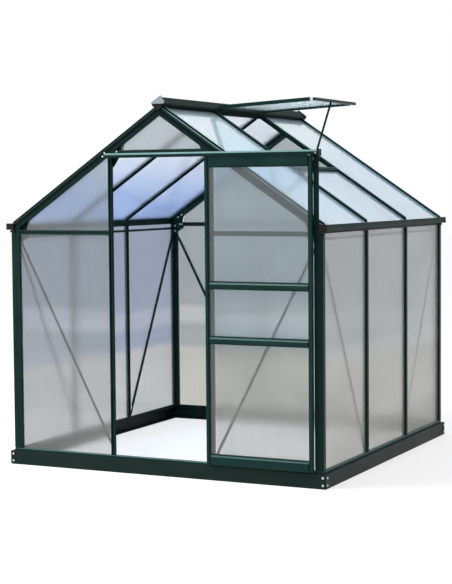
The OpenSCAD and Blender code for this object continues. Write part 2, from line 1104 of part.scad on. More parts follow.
module vent_side_bars() {
    color(greenhouse_green)
        on_vent()
            both_ends()
                translate([12, vent_half - vent_bar_w, 0])
                    difference() {
                        cube([vent_len - 26 - vent_bar_gap, vent_bar_w, vent_bar_h]);
                        translate([-1, -1, vent_bar_h / 2 - groove / 2])
                            cube([vent_len, groove_depth + 1, groove]);
                    }
}

// The leaf by which the vent hangs: it lies on the ridge's right slope.
module hinge_leaf() {
    run = norm([ridge_half - 5, ridge_top_z - shoulder_z]);
    turn = atan2(ridge_top_z - shoulder_z, 5 - ridge_half);
    along_y(-vent_half, vent_half)
        translate([ridge_half, shoulder_z])
            rotate(turn)
                translate([0, -seat - 2.5])
                    square([run / 3, 2.5]);
}

module vent_end_rails() {
    color(greenhouse_green) {
        hinge_leaf();
        on_vent() {
            translate([0, -vent_half, 0])
                cube([12, 2 * vent_half, vent_bar_h]);
            translate([vent_len - 14, -vent_half, 0])
                cube([14, 2 * vent_half, vent_bar_h - 4]);
        }
    }
}

module vent_panel() {
    reach = vent_half - vent_bar_w + bite;
    color(sheet_white)
        on_vent()
            translate([12.3, -reach, vent_bar_h / 2 - sheet_t / 2])
                cube([vent_len - 26.6, 2 * reach, sheet_t]);
}

module vent_sill() {
    half = stud_y - stud_face / 2 - seat;
    color(greenhouse_green)
        on_slope()
            translate([vent_sill_u, 0, 0])
                rotate([90, 0, 0])
                    translate([0, 0, -half])
                        linear_extrude(2 * half)
                            bar_body(vent_sill_face);
}

// The stay stands on the vent's sill and is cut off under its outer rail.
module vent_stay() {
    foot = [vent_sill_x - 3, roof_z(vent_sill_x)];
    head = [
        vent_hinge_x + (vent_len - 7) * cos(vent_open),
        vent_hinge_z + (vent_len - 7) * sin(vent_open)
    ];
    past = 20 * (head - foot) / norm(head - foot);
    color(greenhouse_green)
        difference() {
            translate([0, stay_y, 0])
                flat_bar(foot - past, head + past, stay_w, stay_t);
            on_slope()
                translate([0, -base_d / 2, seat - base_h])
                    cube([base_w, base_d, base_h]);
            on_vent()
                translate([vent_len - base_h, -base_d / 2, -seat])
                    cube([2 * base_h, base_d, base_h]);
        }
}

// ---------- sliding door ----------

door_x0 = door_travel - door_w / 2;
door_x1 = door_travel + door_w / 2;

// A door stile: a box with two lips that hold the panes. Outer edge on x = 0,
// face on y = 0.
module stile_section() {
    box_w = stile_face - lip_w;
    difference() {
        square([box_w, door_t]);
        translate([flange_t, flange_t])
            square([box_w - 2 * flange_t, door_t - 2 * flange_t]);
    }
    for (y = [lip_y, lip_y + flange_t + groove])
        translate([box_w - flange_t / 2, y])
            square([lip_w + flange_t / 2, flange_t]);
}

module door_stiles() {
    color(greenhouse_green)
        translate([door_travel, door_front, door_foot_z])
            both_sides()
                translate([door_w / 2, 0, 0])
                    mirror([1, 0, 0])
                        linear_extrude(door_top_z - door_foot_z)
                            stile_section();
}

// A door rail: a box with lips below and above it, its top edge sloped back
// where it has a lip above. Drawn in the y-z plane, face on y = 0.
module rail_section(h, low, high) {
    z0 = low;
    z1 = h - high;
    slope_h = high > 0 ? rail_slope : flange_t;
    slope_y = high > 0 ? lip_y - 0.5 : flange_t / 2;
    back = rail_depth - flange_t;
    difference() {
        polygon([
            [0, z0], [0, z1 - slope_h], [slope_y, z1], [rail_depth, z1], [rail_depth, z0]
        ]);
        polygon([
            [flange_t, z0 + flange_t], [flange_t, z1 - slope_h - flange_t / 2],
            [slope_y + flange_t / 2, z1 - flange_t], [back, z1 - flange_t],
            [back, z0 + flange_t]
        ]);
    }
    for (y = [lip_y, lip_y + flange_t + groove]) {
        translate([y, 0])
            square([flange_t, low + flange_t / 2]);
        translate([y, z1 - flange_t / 2])
            square([flange_t, high + flange_t / 2]);
    }
}

module door_rail(z0, h, low, high) {
    half = door_w / 2 - stile_face - seat;
    translate([0, door_front, z0])
        along_x(door_travel - half, door_travel + half)
            rail_section(h, low, high);
}

module door_rails() {
    color(greenhouse_green) {
        door_rail(door_foot_z, door_bottom_rail, 0, lip_w);
        for (z = mid_rail_z)
            door_rail(z - door_mid_rail / 2, door_mid_rail, lip_w, lip_w);
        door_rail(door_top_z - door_top_rail, door_top_rail, lip_w, 0);
    }
}

module door_panes() {
    half = door_w / 2 - stile_face + pane_bite;
    edges = [
        [door_foot_z + door_bottom_rail, mid_rail_z[0] - door_mid_rail / 2],
        [mid_rail_z[0] + door_mid_rail / 2, mid_rail_z[1] - door_mid_rail / 2],
        [mid_rail_z[1] + door_mid_rail / 2, door_top_z - door_top_rail]
    ];
    pane_y = door_front + lip_y + flange_t + sheet_clear;
    color(sheet_white)
        for (e = edges)
            translate([door_travel - half, pane_y, e[0] - pane_bite])
                cube([2 * half, sheet_t, e[1] - e[0] + 2 * pane_bite]);
}

// A roller on its hanger plate, which stands on the door's top rail.
module door_roller() {
    translate([-hanger_w / 2, hanger_back - hanger_t, door_top_z])
        cube([hanger_w, hanger_t, roller_z + 6 - door_top_z]);
    translate([0, roller_y + roller_w / 2, roller_z])
        rotate([90, 0, 0])
            cylinder(d = roller_d, h = roller_w, $fn = 48);
    translate([0, roller_y, roller_z])
        rotate([90, 0, 0])
            cylinder(d = 6, h = roller_y - hanger_back + 1, $fn = 24);
}

module door_rollers() {
    color(cap_black)
        for (x = [door_x0 + 3 * stile_face, door_x1 - 3 * stile_face])
            translate([x, 0, 0])
                door_roller();
}

// ---------- the nodes ----------

base_front();
base_back();
base_sides();
base_corner_brackets();
sill_front();
sill_back();
sill_sides();
corner_posts();
side_studs();
door_posts();
back_studs();
gutters();
gutter_end_caps();
eaves_beam_front();
eaves_beam_back();
front_rafters();
back_rafters();
roof_bars();
ridge();
ridge_end_caps();
door_header();
gusset_plates();
door_track();
track_end_stop();
track_upright();
front_braces();
side_braces();
back_braces();
front_wall_panels();
front_gable_panels();
left_wall_panels();
right_wall_panels();
back_wall_panels();
back_gable_panels();
left_roof_panels();
right_roof_panels();
vent_side_bars();
vent_end_rails();
vent_panel();
vent_sill();
vent_stay();
door_stiles();
door_rails();
door_panes();
door_rollers();
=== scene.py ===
# %% [markdown]
# # A garden greenhouse, dressed for its portrait
#
# The greenhouse is already modelled to size: an aluminium frame, twin-wall
# sheets, a steel base, and a door that slides. This script loads that model as
# a fixed frame and does what a drawing of sizes can't: paint, translucent
# sheets, bolts, light, and a camera.

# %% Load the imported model
import math

import bpy
import numpy as np
from mathutils import Matrix, Vector


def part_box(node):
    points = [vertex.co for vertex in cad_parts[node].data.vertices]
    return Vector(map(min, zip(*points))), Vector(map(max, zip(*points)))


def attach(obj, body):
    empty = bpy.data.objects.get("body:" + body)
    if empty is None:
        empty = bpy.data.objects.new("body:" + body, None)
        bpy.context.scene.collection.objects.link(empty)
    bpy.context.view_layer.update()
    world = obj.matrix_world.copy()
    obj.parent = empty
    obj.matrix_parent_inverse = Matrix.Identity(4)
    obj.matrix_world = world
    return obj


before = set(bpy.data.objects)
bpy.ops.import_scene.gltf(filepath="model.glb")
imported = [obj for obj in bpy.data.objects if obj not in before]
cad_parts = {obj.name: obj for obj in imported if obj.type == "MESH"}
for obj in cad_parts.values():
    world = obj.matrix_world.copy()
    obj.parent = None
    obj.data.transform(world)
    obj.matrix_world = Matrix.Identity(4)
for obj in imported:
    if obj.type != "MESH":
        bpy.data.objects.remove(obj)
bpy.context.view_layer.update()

# %% [markdown]
# ## The camera
#
# A long lens from the right front corner keeps the posts nearly parallel. The
# view is written as a place, a turn to the left, a tilt, and a small roll. A
# small shift sets the lens's axis right of the picture's middle and above it,
# as a crop does.

# %% Camera
LONG_SIDE = 584
SENSOR = 36.0
FOCAL_LENGTH = 1535.37  # in pixels, as the shift is
SHIFT_X, SHIFT_Y = -14, -8
CLIP_END = 200
EYE = Vector((3.8926, -8.0894, 1.5287))
TURN_LEFT = math.radians(25.6005)
TILT = math.radians(-3.5646)
ROLL = math.radians(-0.4420)


def looking(turn, tilt, roll):
    """Camera axes as a matrix: forward from two angles, then a roll about it."""
    level = math.cos(tilt)
    ahead = Vector((-math.sin(turn) * level, math.cos(turn) * level, math.sin(tilt)))
    right = ahead.cross(Vector((0, 0, 1))).normalized()
    above = right.cross(ahead)
    right, above = (
        right * math.cos(roll) + above * math.sin(roll),
        above * math.cos(roll) - right * math.sin(roll),
    )
    return Matrix((right, above, -ahead)).transposed().to_4x4()


lens = bpy.data.cameras.new("portrait_lens")
lens.sensor_width = SENSOR
lens.lens = SENSOR * FOCAL_LENGTH / LONG_SIDE
lens.shift_x = SHIFT_X / LONG_SIDE
lens.shift_y = SHIFT_Y / LONG_SIDE
lens.clip_end = CLIP_END
camera = bpy.data.objects.new("camera", lens)
camera.matrix_world = Matrix.Translation(EYE) @ looking(TURN_LEFT, TILT, ROLL)
bpy.context.scene.collection.objects.link(camera)
bpy.context.scene.camera = camera
print("lens", round(lens.lens, 1), "mm")

# %% [markdown]
# ## Small tools for shader nodes
#
# Every finish below is a few nodes wired in a row. Four helpers keep that
# readable: they start a material, add a node and fill its sockets, start a node
# group, and put a group to use.

# %% Node helpers


def new_material(name):
    """A material with its Principled shader, and that shader's node tree."""
    material = bpy.data.materials.new(name)
    material.use_nodes = True
    shader = material.node_tree.nodes["Principled BSDF"]
    return material, material.node_tree, shader


def add(tree, kind, values=None, **settings):
    """A node of a kind, its settings and its unlinked input values filled in."""
    node = tree.nodes.new(kind)
    for name, value in settings.items():
        setattr(node, name, value)
    for name, value in (values or {}).items():
        node.inputs[name].default_value = value
    return node


def group(name, inputs, outputs):
    """A shader node group with named sockets, and its two end nodes."""
    tree = bpy.data.node_groups.new(name, "ShaderNodeTree")
    for label, kind, value in inputs:
        socket = tree.interface.new_socket(label, in_out="INPUT", socket_type=kind)
        if value is not None:
            socket.default_value = value
    for label, kind in outputs:
        tree.interface.new_socket(label, in_out="OUTPUT", socket_type=kind)
    return tree, tree.nodes.new("NodeGroupInput"), tree.nodes.new("NodeGroupOutput")


def place(tree, made, values=None):
    """A node group put into a material, with this finish's own values."""
    node = tree.nodes.new("ShaderNodeGroup")
    node.node_tree = made
    for name, value in (values or {}).items():
        node.inputs[name].default_value = value
    return node


# %% [markdown]
# ## Paint
#
# The bars are powder coated: a dark green skin with a faint orange-peel
# texture, a little cloudy where it was sprayed thicker, and rubbed paler in a
# few places by hands and gloves. An extruded bar has no razor edge, so the
# shader rounds every corner by about a millimetre, and each edge catches a
# thin line of light.

# %% Group: sprayed coat
FLOAT, COLOUR, VECTOR = "NodeSocketFloat", "NodeSocketColor", "NodeSocketVector"

coat, coat_in, coat_out = group(
    "sprayed coat",
    [
        ("Paint", COLOUR, (0.02, 0.05, 0.045, 1)),
        ("Thin", COLOUR, (0.04, 0.08, 0.07, 1)),
        ("Clouds", FLOAT, 3.0),
        ("Gloss", FLOAT, 0.35),
    ],
    [("Color", COLOUR), ("Roughness", FLOAT), ("Peel", FLOAT)],
)
place_of = add(coat, "ShaderNodeTexCoord")
clouds = add(coat, "ShaderNodeTexNoise", {"Detail": 4.0, "Roughness": 0.6})
patchy = add(coat, "ShaderNodeMapRange", {"From Min": 0.35, "From Max": 0.75})
tone = add(coat, "ShaderNodeMix", data_type="RGBA")
rubbed = add(coat, "ShaderNodeMath", {1: 0.12}, operation="MULTIPLY")
rough = add(coat, "ShaderNodeMath", operation="ADD")
peel = add(coat, "ShaderNodeTexNoise", {"Scale": 900.0, "Detail": 2.0})
wire = coat.links.new
wire(place_of.outputs["Object"], clouds.inputs["Vector"])
wire(coat_in.outputs["Clouds"], clouds.inputs["Scale"])
wire(clouds.outputs["Fac"], patchy.inputs["Value"])
wire(patchy.outputs["Result"], tone.inputs["Factor"])
wire(coat_in.outputs["Paint"], tone.inputs["A"])
wire(coat_in.outputs["Thin"], tone.inputs["B"])
wire(patchy.outputs["Result"], rubbed.inputs[0])
wire(coat_in.outputs["Gloss"], rough.inputs[0])
wire(rubbed.outputs[0], rough.inputs[1])
wire(place_of.outputs["Object"], peel.inputs["Vector"])
wire(tone.outputs["Result"], coat_out.inputs["Color"])
wire(rough.outputs[0], coat_out.inputs["Roughness"])
wire(peel.outputs["Fac"], coat_out.inputs["Peel"])
print("group:", coat.name)

# %% [markdown]
# Where a bar has a ledge that looks at the sky, a painted highlight stands for
# the sky that it mirrors: the green goes pale there, and the upright faces keep
# their colour.
# The mask is the upward part of the surface's direction, so it sits on every
# ledge, lip and cap that the light falls on.

# %% Group: painted sky highlight
sky_highlight, highlight_in, highlight_out = group(
    "painted sky highlight",
    [("Paint", COLOUR, (0.02, 0.05, 0.045, 1)), ("Highlight", COLOUR, (0.2, 0.3, 0.3, 1))],
    [("Color", COLOUR)],
)
facing = add(sky_highlight, "ShaderNodeNewGeometry")
upward = add(sky_highlight, "ShaderNodeSeparateXYZ")
slope = add(sky_highlight, "ShaderNodeMapRange", {"From Min": 0.4, "From Max": 0.52})
# painted highlight: faces that look up take the paler colour, for the bright sky that they mirror
highlighted = add(sky_highlight, "ShaderNodeMix", data_type="RGBA")
wire = sky_highlight.links.new
wire(facing.outputs["Normal"], upward.inputs[0])
wire(upward.outputs["Z"], slope.inputs["Value"])
wire(slope.outputs["Result"], highlighted.inputs["Factor"])
wire(highlight_in.outputs["Paint"], highlighted.inputs["A"])
wire(highlight_in.outputs["Highlight"], highlighted.inputs["B"])
wire(highlighted.outputs["Result"], highlight_out.inputs["Color"])
print("group:", sky_highlight.name)

# %% [markdown]
# The front rafters are an extruded section with a bead along the upper edge, a
# groove below it, and a slightly crowned face. The groove is painted in shade, the
# bead takes a painted highlight, and the face gets painted shading, lighter away
# from the groove. The depth into the section is a plain distance:
# across = z cos(pitch) + |x| sin(pitch), which is the same all along a rafter.
# across = z cos(pitch) + |x| sin(pitch), which is the same all along a rafter.

# %% Group: painted rafter light and shade
PITCH = math.radians(34)
FACE_DEPTH = 0.05
FLAT_WITHIN = 0.002
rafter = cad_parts["front_rafters"]
points = np.array([rafter.matrix_world @ vertex.co for vertex in rafter.data.vertices])
face = points[points[:, 1] < points[:, 1].min() + FLAT_WITHIN]
up_the_face = face[:, 2] * math.cos(PITCH) + np.abs(face[:, 0]) * math.sin(PITCH)
FACE_TOP = float(up_the_face.max())
RAFTER_LIGHT_AND_SHADE = [  # part of the face from its lower edge, and the painted light added there
    (0.15, (0.003, 0.010, 0.011, 1)),
    (0.29, (0.007, 0.018, 0.019, 1)),
    (0.45, (0.004, 0.012, 0.012, 1)),
    (0.60, (0.000, 0.001, 0.001, 1)),
    (0.76, (0.000, 0.000, 0.000, 1)),
    (0.82, (0.008, 0.018, 0.017, 1)),
    (0.88, (0.034, 0.062, 0.058, 1)),
    (0.96, (0.004, 0.014, 0.013, 1)),
]
rafter_light, rafter_light_in, rafter_light_out = group(
    "painted rafter light and shade", [("Paint", COLOUR, (0.02, 0.05, 0.045, 1))], [("Color", COLOUR)]
)
spot = add(rafter_light, "ShaderNodeTexCoord")
parts = add(rafter_light, "ShaderNodeSeparateXYZ")
sideways = add(rafter_light, "ShaderNodeMath", operation="ABSOLUTE")
lean = add(rafter_light, "ShaderNodeMath", {1: math.sin(PITCH)}, operation="MULTIPLY")
up = add(rafter_light, "ShaderNodeMath", {1: math.cos(PITCH)}, operation="MULTIPLY")
depth = add(rafter_light, "ShaderNodeMath", operation="ADD")
share = add(
    rafter_light, "ShaderNodeMapRange", {"From Min": FACE_TOP - FACE_DEPTH, "From Max": FACE_TOP}
)
ramp = add(rafter_light, "ShaderNodeValToRGB")
stops = ramp.color_ramp.elements
stops.remove(stops[1])
stops[0].position, stops[0].color = RAFTER_LIGHT_AND_SHADE[0]
for place_at, pale in RAFTER_LIGHT_AND_SHADE[1:]:
    stops.new(place_at).color = pale
# painted light and shade: the ramp adds a highlight on the bead and shading across the face, and
# nothing in the groove, which stays in painted shade
lit_face = add(rafter_light, "ShaderNodeMix", {"Factor": 1.0}, data_type="RGBA", blend_type="ADD")
wire = rafter_light.links.new
wire(spot.outputs["Object"], parts.inputs[0])
wire(parts.outputs["X"], sideways.inputs[0])
wire(sideways.outputs[0], lean.inputs[0])
wire(parts.outputs["Z"], up.inputs[0])
wire(lean.outputs[0], depth.inputs[0])
wire(up.outputs[0], depth.inputs[1])
wire(depth.outputs[0], share.inputs["Value"])
wire(share.outputs["Result"], ramp.inputs["Fac"])
wire(rafter_light_in.outputs["Paint"], lit_face.inputs["A"])
wire(ramp.outputs["Color"], lit_face.inputs["B"])
wire(lit_face.outputs["Result"], rafter_light_out.inputs["Color"])
print("group:", rafter_light.name, "top of the face", round(FACE_TOP, 4))

# %% Finish: powder coat and moulded plastic
EDGE_RADIUS = 0.0015
PEEL_DEPTH = 0.0005


def painted(
    name, paint, thin, gloss, clouds_per_m, sheen=0.15, bite=0.02, highlight=None, rafter_shading=False
):
    """Powder coat: cloudy colour and roughness, rounded edges, a faint orange peel.

    With a colour for the faces that look up, those faces take it: a painted
    highlight. With the rafter shading, the paint takes a painted highlight on the
    bead and painted shade in the groove of the front rafters' section.
    """
    material, tree, shader = new_material(name)
    sprayed = {"Paint": paint, "Thin": thin, "Clouds": clouds_per_m, "Gloss": gloss}
    film = place(tree, coat, sprayed)
    rounded = add(tree, "ShaderNodeBevel", {"Radius": EDGE_RADIUS}, samples=4)
    bump = add(tree, "ShaderNodeBump", {"Strength": bite, "Distance": PEEL_DEPTH})
    colour = film.outputs["Color"]
    # painted highlight on the rafter bead, painted shade in its groove
    if rafter_shading:
        lines = place(tree, rafter_light)
        tree.links.new(colour, lines.inputs["Paint"])
        colour = lines.outputs["Color"]
    # painted highlight on the faces that look up
    if highlight:
        lit_ledges = place(tree, sky_highlight, {"Highlight": highlight})
        tree.links.new(colour, lit_ledges.inputs["Paint"])
        colour = lit_ledges.outputs["Color"]
    tree.links.new(colour, shader.inputs["Base Color"])
    tree.links.new(film.outputs["Roughness"], shader.inputs["Roughness"])
    tree.links.new(film.outputs["Peel"], bump.inputs["Height"])
    tree.links.new(rounded.outputs["Normal"], bump.inputs["Normal"])
    tree.links.new(bump.outputs["Normal"], shader.inputs["Normal"])
    shader.inputs["Specular IOR Level"].default_value = sheen
    return material


GREEN, GREEN_THIN = (0.004, 0.025, 0.022, 1), (0.008, 0.034, 0.031, 1)
BLACK, BLACK_THIN = (0.006, 0.007, 0.007, 1), (0.012, 0.013, 0.013, 1)
# the pale green on the rafters' ledges is a painted highlight
LEDGE_HIGHLIGHT = (0.30, 0.48, 0.49, 1)
green_bar = painted("green powder coat", GREEN, GREEN_THIN, 0.28, 3.0, 0.08)
# The rafter coat is a darker copy of the green: painted shade on the rafters' front faces, under
# the painted light of the bead.
green_rafter = painted(
    "green rafter coat",
    (0.001, 0.007, 0.006, 1),
    (0.003, 0.012, 0.011, 1),
    0.3,
    3.0,
    0.05,
    highlight=LEDGE_HIGHLIGHT,
    rafter_shading=True,
)
green_back_rafter = painted(
    "green back rafter coat", GREEN, GREEN_THIN, 0.28, 3.0, 0.08, highlight=LEDGE_HIGHLIGHT
)
# The paler colours that the track, the door, the roof bars and the ridge end caps get on faces
# that look up are painted highlights.
green_track = painted(
    "green track coat", GREEN, GREEN_THIN, 0.28, 3.0, 0.08, highlight=(0.12, 0.27, 0.265, 1)
)
green_door = painted(
    "green door coat",
    (0.006, 0.034, 0.031, 1),
    (0.012, 0.048, 0.044, 1),
    0.3,
    4.0,
    0.1,
    highlight=(0.05, 0.13, 0.12, 1),
)
green_roof = painted(
    "green roof bar coat", GREEN, GREEN_THIN, 0.36, 3.0, 0.02, highlight=(0.03, 0.085, 0.085, 1)
)
# The ridge coat is a darker copy of the green: painted shade on the ridge's faces.
green_ridge = painted(
    "ridge coat", (0.003, 0.014, 0.012, 1), (0.006, 0.022, 0.019, 1), 0.36, 3.0, 0.02
)
green_gutter = painted(
    "green gutter coat", (0.008, 0.028, 0.024, 1), (0.016, 0.038, 0.033, 1), 0.4, 5.0, 0.05
)
green_base = painted(
    "green base coat", (0.008, 0.024, 0.020, 1), (0.018, 0.032, 0.027, 1), 0.42, 6.0, 0.1
)
black_cap = painted("black moulding", BLACK, BLACK_THIN, 0.45, 20.0, 0.15, 0.1)
lit_cap = painted(
    "moulding with painted highlight", BLACK, BLACK_THIN, 0.45, 20.0, 0.15, 0.1, highlight=(0.17, 0.21, 0.23, 1)
)

# %% [markdown]
# ## Twin-wall sheet
#
# Polycarbonate sheet is two thin skins joined by upright webs a few
# millimetres apart. Light gets through, but webs and skins take a little of it
# and smear it, so a bar close behind shows as a soft dark shape. The webs are
# fine ribs, and the sheet is streaked along them and faintly banded across.
# Towards the ground the sheet is darker: painted shade for the dark ground that
# shows through there. A strip beside each bar is paler, and a soft pale band
# runs across at about the height of a hip.
#
# The sheet's body is tinted, rough glass of a low index, because two thin skins
# bend light far less than a solid block would. A clear coat over it gives the
# outer skin its own sharp gloss: that is what mirrors the bars faintly and
# brightens a sheet that is seen at a slant. Each wall has its own tone, and its
# tone changes with height: that is painted light and shade, the light that falls
# on each wall and shows through it from behind, so the walls are lit and shaded
# copies of one sheet.

# %% Group: sheet
STREAKS_PER_M = (90.0, 1.0, 1.2)  # fine across the webs, long along them
BANDS_PER_M = (0.7, 1.0, 5.0)
GROUND_SHADE_FULL, GROUND_SHADE_NONE = 0.16, 0.3  # heights: painted ground shade at its fullest below one, none above the other
GROUND_SHADE = (0.78, 0.77, 0.74, 1)
STRIP_INNER, STRIP_OUTER, STRIP_SHARE = 0.008, 0.016, 0.6
BAND_INNER, BAND_OUTER = 0.035, 0.08
sheet, sheet_in, sheet_out = group(
    "twin-wall sheet",
    [
        ("Along", VECTOR, (1.0, 0.0, 0.0)),
        ("Middle", FLOAT, 0.0),
        ("Bar", FLOAT, 0.302),
        ("Half bar", FLOAT, 0.011),
        ("Edge", FLOAT, 0.885),
        ("Pitch", FLOAT, 0.0065),
        ("Low", COLOUR, (0.95, 0.95, 0.93, 1)),
        ("High", COLOUR, (0.82, 0.88, 0.95, 1)),
        ("Strip colour", COLOUR, (0.96, 0.98, 0.98, 1)),
        ("Web", COLOUR, (0.78, 0.82, 0.84, 1)),
        ("Foot", FLOAT, 0.7),
        ("Head", FLOAT, 0.86),
        ("Pale at", FLOAT, 0.9),
        ("Pale", FLOAT, 0.0),
        ("Ground shade", FLOAT, 0.0),
        ("Haze", FLOAT, 0.2),
    ],
    [("Color", COLOUR), ("Rib", FLOAT), ("Haze", FLOAT)],
)
wire = sheet.links.new
where = add(sheet, "ShaderNodeTexCoord")
height = add(sheet, "ShaderNodeSeparateXYZ")
across = add(sheet, "ShaderNodeVectorMath", operation="DOT_PRODUCT")
off_middle = add(sheet, "ShaderNodeMath", operation="SUBTRACT")
wire(where.outputs["Object"], height.inputs[0])
wire(where.outputs["Object"], across.inputs[0])
wire(sheet_in.outputs["Along"], across.inputs[1])
wire(across.outputs["Value"], off_middle.inputs[0])
wire(sheet_in.outputs["Middle"], off_middle.inputs[1])

# the webs: one narrow ridge of a cosine per pitch
count = add(sheet, "ShaderNodeMath", operation="DIVIDE")
phase = add(sheet, "ShaderNodeMath", {1: 2 * math.pi}, operation="MULTIPLY")
wave = add(sheet, "ShaderNodeMath", operation="COSINE")
lift = add(sheet, "ShaderNodeMapRange", {"From Min": -1.0, "From Max": 1.0})
rib = add(sheet, "ShaderNodeMath", {1: 3.0}, operation="POWER")
wire(across.outputs["Value"], count.inputs[0])
wire(sheet_in.outputs["Pitch"], count.inputs[1])
wire(count.outputs[0], phase.inputs[0])
wire(phase.outputs[0], wave.inputs[0])
wire(wave.outputs[0], lift.inputs["Value"])
wire(lift.outputs["Result"], rib.inputs[0])

# streaks along the webs and soft bands across them
grid = add(sheet, "ShaderNodeCombineXYZ")
wire(across.outputs["Value"], grid.inputs["X"])
wire(height.outputs["Z"], grid.inputs["Z"])
stretch = add(sheet, "ShaderNodeVectorMath", {1: STREAKS_PER_M}, operation="MULTIPLY")
streak = add(sheet, "ShaderNodeTexNoise", {"Scale": 1.0, "Detail": 2.0})
squash = add(sheet, "ShaderNodeVectorMath", {1: BANDS_PER_M}, operation="MULTIPLY")
band = add(sheet, "ShaderNodeTexNoise", {"Scale": 1.0, "Detail": 3.0, "Roughness": 0.55})
wire(grid.outputs[0], stretch.inputs[0])
wire(stretch.outputs[0], streak.inputs["Vector"])
wire(grid.outputs[0], squash.inputs[0])
wire(squash.outputs[0], band.inputs["Vector"])
streaks = add(sheet, "ShaderNodeMapRange", {"From Min": 0.3, "From Max": 0.7, "To Max": 0.35})
bands = add(sheet, "ShaderNodeMapRange", {"From Min": 0.3, "From Max": 0.7, "To Max": 0.65})
ribs = add(sheet, "ShaderNodeMath", {1: 0.25}, operation="MULTIPLY")
some = add(sheet, "ShaderNodeMath", operation="ADD")
marks = add(sheet, "ShaderNodeMath", operation="ADD")
wire(streak.outputs["Fac"], streaks.inputs["Value"])
wire(band.outputs["Fac"], bands.inputs["Value"])
wire(rib.outputs[0], ribs.inputs[0])
wire(streaks.outputs["Result"], some.inputs[0])
wire(bands.outputs["Result"], some.inputs[1])
wire(some.outputs[0], marks.inputs[0])
wire(ribs.outputs[0], marks.inputs[1])

# tone by height, then painted shade towards the ground, then the marks, and how far the nearest
# bar is
# painted light: the tone by height stands for the light that shows through each wall from behind
rise = add(sheet, "ShaderNodeMapRange", interpolation_type="SMOOTHSTEP")
tone = add(sheet, "ShaderNodeMix", data_type="RGBA")
marked = add(sheet, "ShaderNodeMix", data_type="RGBA", blend_type="MULTIPLY")
wire(height.outputs["Z"], rise.inputs["Value"])
wire(sheet_in.outputs["Foot"], rise.inputs["From Min"])
wire(sheet_in.outputs["Head"], rise.inputs["From Max"])
wire(rise.outputs["Result"], tone.inputs["Factor"])
wire(sheet_in.outputs["Low"], tone.inputs["A"])
wire(sheet_in.outputs["High"], tone.inputs["B"])
# painted shade: the sheet darkens towards the ground, for the dark ground that shows through it
ground_fade = add(
    sheet, "ShaderNodeMapRange", {"From Min": GROUND_SHADE_FULL, "From Max": GROUND_SHADE_NONE, "To Max": 0.0}
)
ground_shaded = add(sheet, "ShaderNodeMix", {"B": GROUND_SHADE}, data_type="RGBA", blend_type="MULTIPLY")
wire(height.outputs["Z"], ground_fade.inputs["Value"])
wire(sheet_in.outputs["Ground shade"], ground_fade.inputs["To Min"])
wire(ground_fade.outputs["Result"], ground_shaded.inputs["Factor"])
wire(tone.outputs["Result"], ground_shaded.inputs["A"])
wire(marks.outputs[0], marked.inputs["Factor"])
wire(ground_shaded.outputs["Result"], marked.inputs["A"])
wire(sheet_in.outputs["Web"], marked.inputs["B"])
side = add(sheet, "ShaderNodeMath", operation="ABSOLUTE")
to_bar = add(sheet, "ShaderNodeMath", operation="SUBTRACT")
from_bar = add(sheet, "ShaderNodeMath", operation="ABSOLUTE")
clear_bar = add(sheet, "ShaderNodeMath", operation="SUBTRACT")
clear_edge = add(sheet, "ShaderNodeMath", operation="SUBTRACT")
nearest = add(sheet, "ShaderNodeMath", operation="MINIMUM")
# a paler strip on the sheet beside each bar and along its edge
strip = add(
    sheet,
    "ShaderNodeMapRange",
    {"From Min": STRIP_INNER, "From Max": STRIP_OUTER, "To Min": STRIP_SHARE, "To Max": 0.0},
)
pale_strip = add(sheet, "ShaderNodeMix", data_type="RGBA")
wire(off_middle.outputs[0], side.inputs[0])
wire(side.outputs[0], to_bar.inputs[0])
wire(sheet_in.outputs["Bar"], to_bar.inputs[1])
wire(to_bar.outputs[0], from_bar.inputs[0])
wire(from_bar.outputs[0], clear_bar.inputs[0])
wire(sheet_in.outputs["Half bar"], clear_bar.inputs[1])
wire(sheet_in.outputs["Edge"], clear_edge.inputs[0])
wire(side.outputs[0], clear_edge.inputs[1])
wire(clear_bar.outputs[0], nearest.inputs[0])
wire(clear_edge.outputs[0], nearest.inputs[1])
wire(nearest.outputs[0], strip.inputs["Value"])

# a pale band across, and the strip by each bar, whichever is the paler; then haze
above = add(sheet, "ShaderNodeMath", operation="SUBTRACT")
from_band = add(sheet, "ShaderNodeMath", operation="ABSOLUTE")
in_band = add(
    sheet, "ShaderNodeMapRange", {"From Min": BAND_INNER, "From Max": BAND_OUTER, "To Max": 0.0}
)
paler = add(sheet, "ShaderNodeMath", operation="MAXIMUM")
wire(height.outputs["Z"], above.inputs[0])
wire(sheet_in.outputs["Pale at"], above.inputs[1])
wire(above.outputs[0], from_band.inputs[0])
wire(from_band.outputs[0], in_band.inputs["Value"])
wire(sheet_in.outputs["Pale"], in_band.inputs["To Min"])
wire(strip.outputs["Result"], paler.inputs[0])
wire(in_band.outputs["Result"], paler.inputs[1])
wire(paler.outputs[0], pale_strip.inputs["Factor"])
wire(marked.outputs["Result"], pale_strip.inputs["A"])
wire(sheet_in.outputs["Strip colour"], pale_strip.inputs["B"])
uneven = add(sheet, "ShaderNodeMapRange", {"From Min": 0.3, "From Max": 0.7, "To Max": 0.08})
haze = add(sheet, "ShaderNodeMath", operation="ADD")
wire(band.outputs["Fac"], uneven.inputs["Value"])
wire(sheet_in.outputs["Haze"], haze.inputs[0])
wire(uneven.outputs["Result"], haze.inputs[1])
wire(pale_strip.outputs["Result"], sheet_out.inputs["Color"])
wire(rib.outputs[0], sheet_out.inputs["Rib"])
wire(haze.outputs[0], sheet_out.inputs["Haze"])
print("group:", sheet.name)

# %% Finish: a sheet for each wall
RIB_DEPTH = 0.0006
COAT_ROUGHNESS = 0.06


